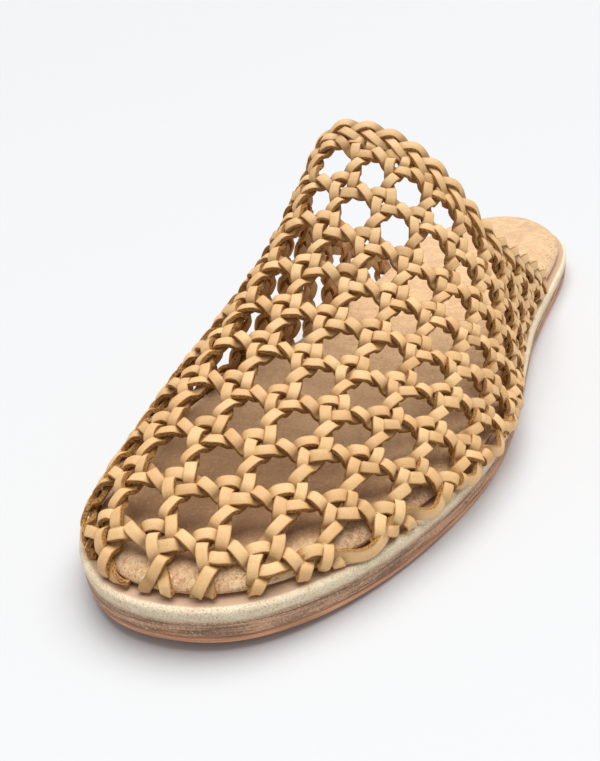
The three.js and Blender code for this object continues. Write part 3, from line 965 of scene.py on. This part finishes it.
def midsole_leather(sole):
    """Pale undyed leather: a sandy cut side that browns towards its foot, and a smooth pinkish top."""
    s = Shader("midsole_leather")
    pale_sand = (1.0, 0.95, 0.82)
    dark_sand = (0.48, 0.29, 0.155)
    dark_top = (0.5, 0.33, 0.212)
    pale_top = (0.66, 0.45, 0.31)
    where = s.position()
    sand = s.noise(where, 0.0004, 2.0, 0.7)
    cloud = s.noise(where, 0.004, 3.0, 0.6)
    streak = s.noise(s.along(7.0), 0.0014, 4.0, 0.6)
    colour = s.blend(s.step(cloud, 0.35, 0.65), shade(sole.midsole, 0.94), shade(sole.midsole, 1.06))
    colour = s.blend(s.step(sand, 0.52, 0.66, 0, 0.85), colour, pale_sand)
    colour = s.blend(s.step(sand, 0.45, 0.33, 0, 0.65), colour, dark_sand)
    stain = s.step(s.attribute("level") - 2.2 * streak - 1.8 * sand, 5.2, 3.7)
    rust = s.blend(s.step(sand, 0.38, 0.62), shade(sole.layer, 0.45), shade(sole.layer, 1.5))
    colour = s.blend(stain * 0.85, colour, rust)
    top = s.step(s.attribute("inside") + 0.8 * streak, 1.5, 2.4)
    colour = s.blend(top, colour, s.blend(streak, dark_top, pale_top))
    return s.surface({
        "Base Color": colour,
        "Roughness": 0.82 - 0.17 * top,
        "Normal": s.bump(sand * (1 - 0.8 * top), 0.8, 0.0005),
        "Specular IOR Level": 0.3,
    })


def layer_leather(sole):
    """Brown cut edge: sandy above, with dark and reddish streaks along it and a dark line at its foot."""
    s = Shader("layer_leather")
    dark_rust = (0.27, 0.09, 0.04)
    pale_rust = (0.78, 0.36, 0.2)
    line_colour = (0.16, 0.05, 0.02)
    level = s.attribute("level")
    sand = s.noise(s.position(), 0.0005, 2.0, 0.7)
    streak = s.noise(s.along(14.0), 0.0011, 4.0, 0.65)
    broad = s.noise(s.along(4.0), 0.01, 2.0)
    colour = s.blend(s.step(streak, 0.36, 0.64), shade(sole.layer, 0.5), shade(sole.layer, 1.45))
    red = s.step(broad + 0.7 * streak - 0.12 * level, 0.35, 0.65)
    rust = s.blend(s.step(streak, 0.4, 0.6), dark_rust, pale_rust)
    colour = s.blend(red * 0.6, colour, rust)
    colour = s.blend(s.step(sand, 0.45, 0.33, 0, 0.6), colour, shade(sole.layer, 0.3))
    colour = s.blend(s.step(sand, 0.56, 0.7, 0, 0.65), colour, shade(sole.midsole, 0.95))
    line = s.step(level + 0.5 * streak, 2.62, 2.3)
    colour = s.blend(line * 0.75, colour, line_colour)
    return s.surface({
        "Base Color": colour,
        "Roughness": 0.62 + 0.25 * sand,
        "Normal": s.bump(sand + streak, 0.6, 0.0004),
        "Specular IOR Level": 0.4,
    })


def outsole_leather(sole):
    """Pinkish tan leather: a rough cut edge with fine streaks, lightly scuffed below."""
    s = Shader("outsole_leather")
    where = s.position()
    sand = s.noise(where, 0.0006, 3.0, 0.7)
    streak = s.noise(s.along(12.0), 0.0012, 3.0)
    cloud = s.noise(where, 0.02, 4.0)
    colour = s.blend(s.step(streak, 0.34, 0.66), shade(sole.outsole, 0.7), shade(sole.outsole, 1.25))
    colour = s.blend(cloud * 0.3, colour, shade(sole.outsole, 1.3))
    colour = s.blend(s.step(sand, 0.42, 0.3, 0, 0.5), colour, shade(sole.outsole, 0.35))
    return s.surface({
        "Base Color": colour,
        "Roughness": 0.56 + 0.2 * sand,
        "Normal": s.bump(streak + sand, 0.45, 0.0003),
        "Specular IOR Level": 0.4,
    })


def dress(piece, material, slot, *nodes):
    """Gives a piece its material and the body that it rides on, and hides the solids that it stands for.
    The slot is not used.
    """
    piece.data.materials.append(material)
    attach(piece, "root")
    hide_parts(*nodes)


# Operators

class MULE_OT_sole(bpy.types.Operator):
    """Makes the sole's layers: the outsole, the brown layer and the pale midsole"""

    bl_idname = "mule.sole"
    bl_label = "Sole layers"

    def execute(self, context):
        for name, side, leather, node in (
            ("outsole_leather", OUTSOLE_SIDE, outsole_leather, "outsole"),
            ("layer_leather", LAYER_SIDE, layer_leather, "sole_layer"),
            ("midsole_leather", MIDSOLE_SIDE, midsole_leather, "midsole"),
        ):
            dress(sole_piece(name, side), leather(context.scene.mule_sole), name, node)
        return {"FINISHED"}


class MULE_OT_insole(bpy.types.Operator):
    """Makes the padded insole"""

    bl_idname = "mule.insole"
    bl_label = "Insole"

    def execute(self, context):
        piece = sole_piece("insole_suede", INSOLE_SIDE, INSOLE_FOLLOW)
        dress(piece, insole_suede(context.scene.mule_sole), "insole_suede", "insole")
        return {"FINISHED"}


class MULE_OT_strips(bpy.types.Operator):
    """Weaves the crosswise and lengthwise strips and braids the collar"""

    bl_idname = "mule.strips"
    bl_label = "Woven strips"

    def execute(self, context):
        strips = context.scene.mule_strips
        braid = context.scene.mule_braid
        rng = np.random.default_rng(SEED)
        leather = strip_leather(strips)
        crosswise = weave_runs(True, strips, rng)
        lengthwise = weave_runs(False, strips, rng) + foot_runs(strips, rng)
        strands = braid_runs(braid, rng)
        for name, runs, width in (
            ("crosswise_strips", crosswise, strips.width),
            ("lengthwise_strips", lengthwise, strips.width),
            ("collar_braid", strands, braid.width),
        ):
            piece = strips_piece(name, runs, width / MM, strips.thickness / MM)
            dress(piece, leather, "strip_leather", "upper")
        return {"FINISHED"}


class MULE_OT_stage(bpy.types.Operator):
    """Sets the floor, the light and the camera"""

    bl_idname = "mule.stage"
    bl_label = "Stage"

    def execute(self, context):
        stage = context.scene.mule_stage
        self.make_floor(stage)
        self.make_light(context, stage)
        self.make_camera(context, stage)
        context.scene.view_settings.view_transform = "Standard"
        return {"FINISHED"}

    def make_floor(self, stage):
        """A wide square at the height of the sole's underside."""
        mesh = bpy.data.meshes.new("floor")
        reach = 9.0
        corners = [(-reach, -reach, 0), (reach, -reach, 0), (reach, reach, 0), (-reach, reach, 0)]
        mesh.from_pydata(corners, [], [(0, 1, 2, 3)])
        floor = bpy.data.objects.new("floor", mesh)
        bpy.context.scene.collection.objects.link(floor)
        s = Shader("floor")
        floor.data.materials.append(s.surface({
            "Base Color": (*stage.floor, 1.0), "Roughness": 0.6, "Specular IOR Level": 0.2}))

    def make_light(self, context, stage):
        """Even light from all round, and one broad light overhead."""
        world = bpy.data.worlds.new("studio")
        world.use_nodes = True
        background = world.node_tree.nodes["Background"]
        background.inputs["Color"].default_value = (0.92, 0.965, 1.0, 1.0)
        background.inputs["Strength"].default_value = stage.sky
        context.scene.world = world
        lamp = bpy.data.lights.new("overhead", "SUN")
        lamp.energy = stage.key
        lamp.angle = stage.spread
        lamp.color = (1.0, 0.985, 0.965)
        overhead = bpy.data.objects.new("overhead", lamp)
        place = Vector((-0.3, 0.0, 1.0))
        turn = place.to_track_quat("Z", "Y").to_matrix().to_4x4()
        overhead.matrix_world = Matrix.Translation(place) @ turn
        context.scene.collection.objects.link(overhead)

    def make_camera(self, context, stage):
        """Camera at an azimuth, elevation and distance from its target, rolled about its axis."""
        turn, rise, roll = stage.azimuth, stage.elevation, stage.roll
        back = Vector((math.sin(turn) * math.cos(rise), -math.cos(turn) * math.cos(rise), math.sin(rise)))
        right = (-back).cross(Vector((0, 0, 1))).normalized()
        up = back.cross(right)
        tilted_right = right * math.cos(roll) + up * math.sin(roll)
        tilted_up = up * math.cos(roll) - right * math.sin(roll)
        place = Vector(to_frame(np.array(stage.target) / MM)) + back * stage.distance
        lens = bpy.data.cameras.new("camera")
        lens.lens = stage.lens
        lens.sensor_width = 36.0
        lens.clip_start = 0.01
        camera = bpy.data.objects.new("camera", lens)
        axes = Matrix((tilted_right, tilted_up, back)).transposed().to_4x4()
        camera.matrix_world = Matrix.Translation(place) @ axes
        context.scene.collection.objects.link(camera)
        context.scene.camera = camera


class MULE_PT_panel(bpy.types.Panel):
    """Lists the shoe's pieces and the stage"""

    bl_idname = "MULE_PT_panel"
    bl_label = "Woven mule"
    bl_space_type = "VIEW_3D"
    bl_region_type = "UI"
    bl_category = "Mule"

    def draw(self, context):
        for operator in OPERATORS:
            self.layout.operator(operator.bl_idname)
        for name, group in SETTINGS.items():
            box = self.layout.box()
            box.label(text=group.__doc__)
            for key in group.__annotations__:
                box.prop(getattr(context.scene, name), key)


OPERATORS = (
    MULE_OT_sole,
    MULE_OT_insole,
    MULE_OT_strips,
    MULE_OT_stage,
)
SETTINGS = {
    "mule_strips": StripSettings,
    "mule_braid": BraidSettings,
    "mule_sole": SoleSettings,
    "mule_stage": StageSettings,
}
CLASSES = (*SETTINGS.values(), *OPERATORS, MULE_PT_panel)


def register():
    for cls in CLASSES:
        bpy.utils.register_class(cls)
    for name, group in SETTINGS.items():
        setattr(bpy.types.Scene, name, PointerProperty(type=group))


def unregister():
    for name in SETTINGS:
        delattr(bpy.types.Scene, name)
    for cls in reversed(CLASSES):
        bpy.utils.unregister_class(cls)


def main():
    """Makes every piece and the stage."""
    register()
    for operator in OPERATORS:
        group, name = operator.bl_idname.split(".")
        getattr(getattr(bpy.ops, group), name)()


if __name__ == "__main__":
    main()
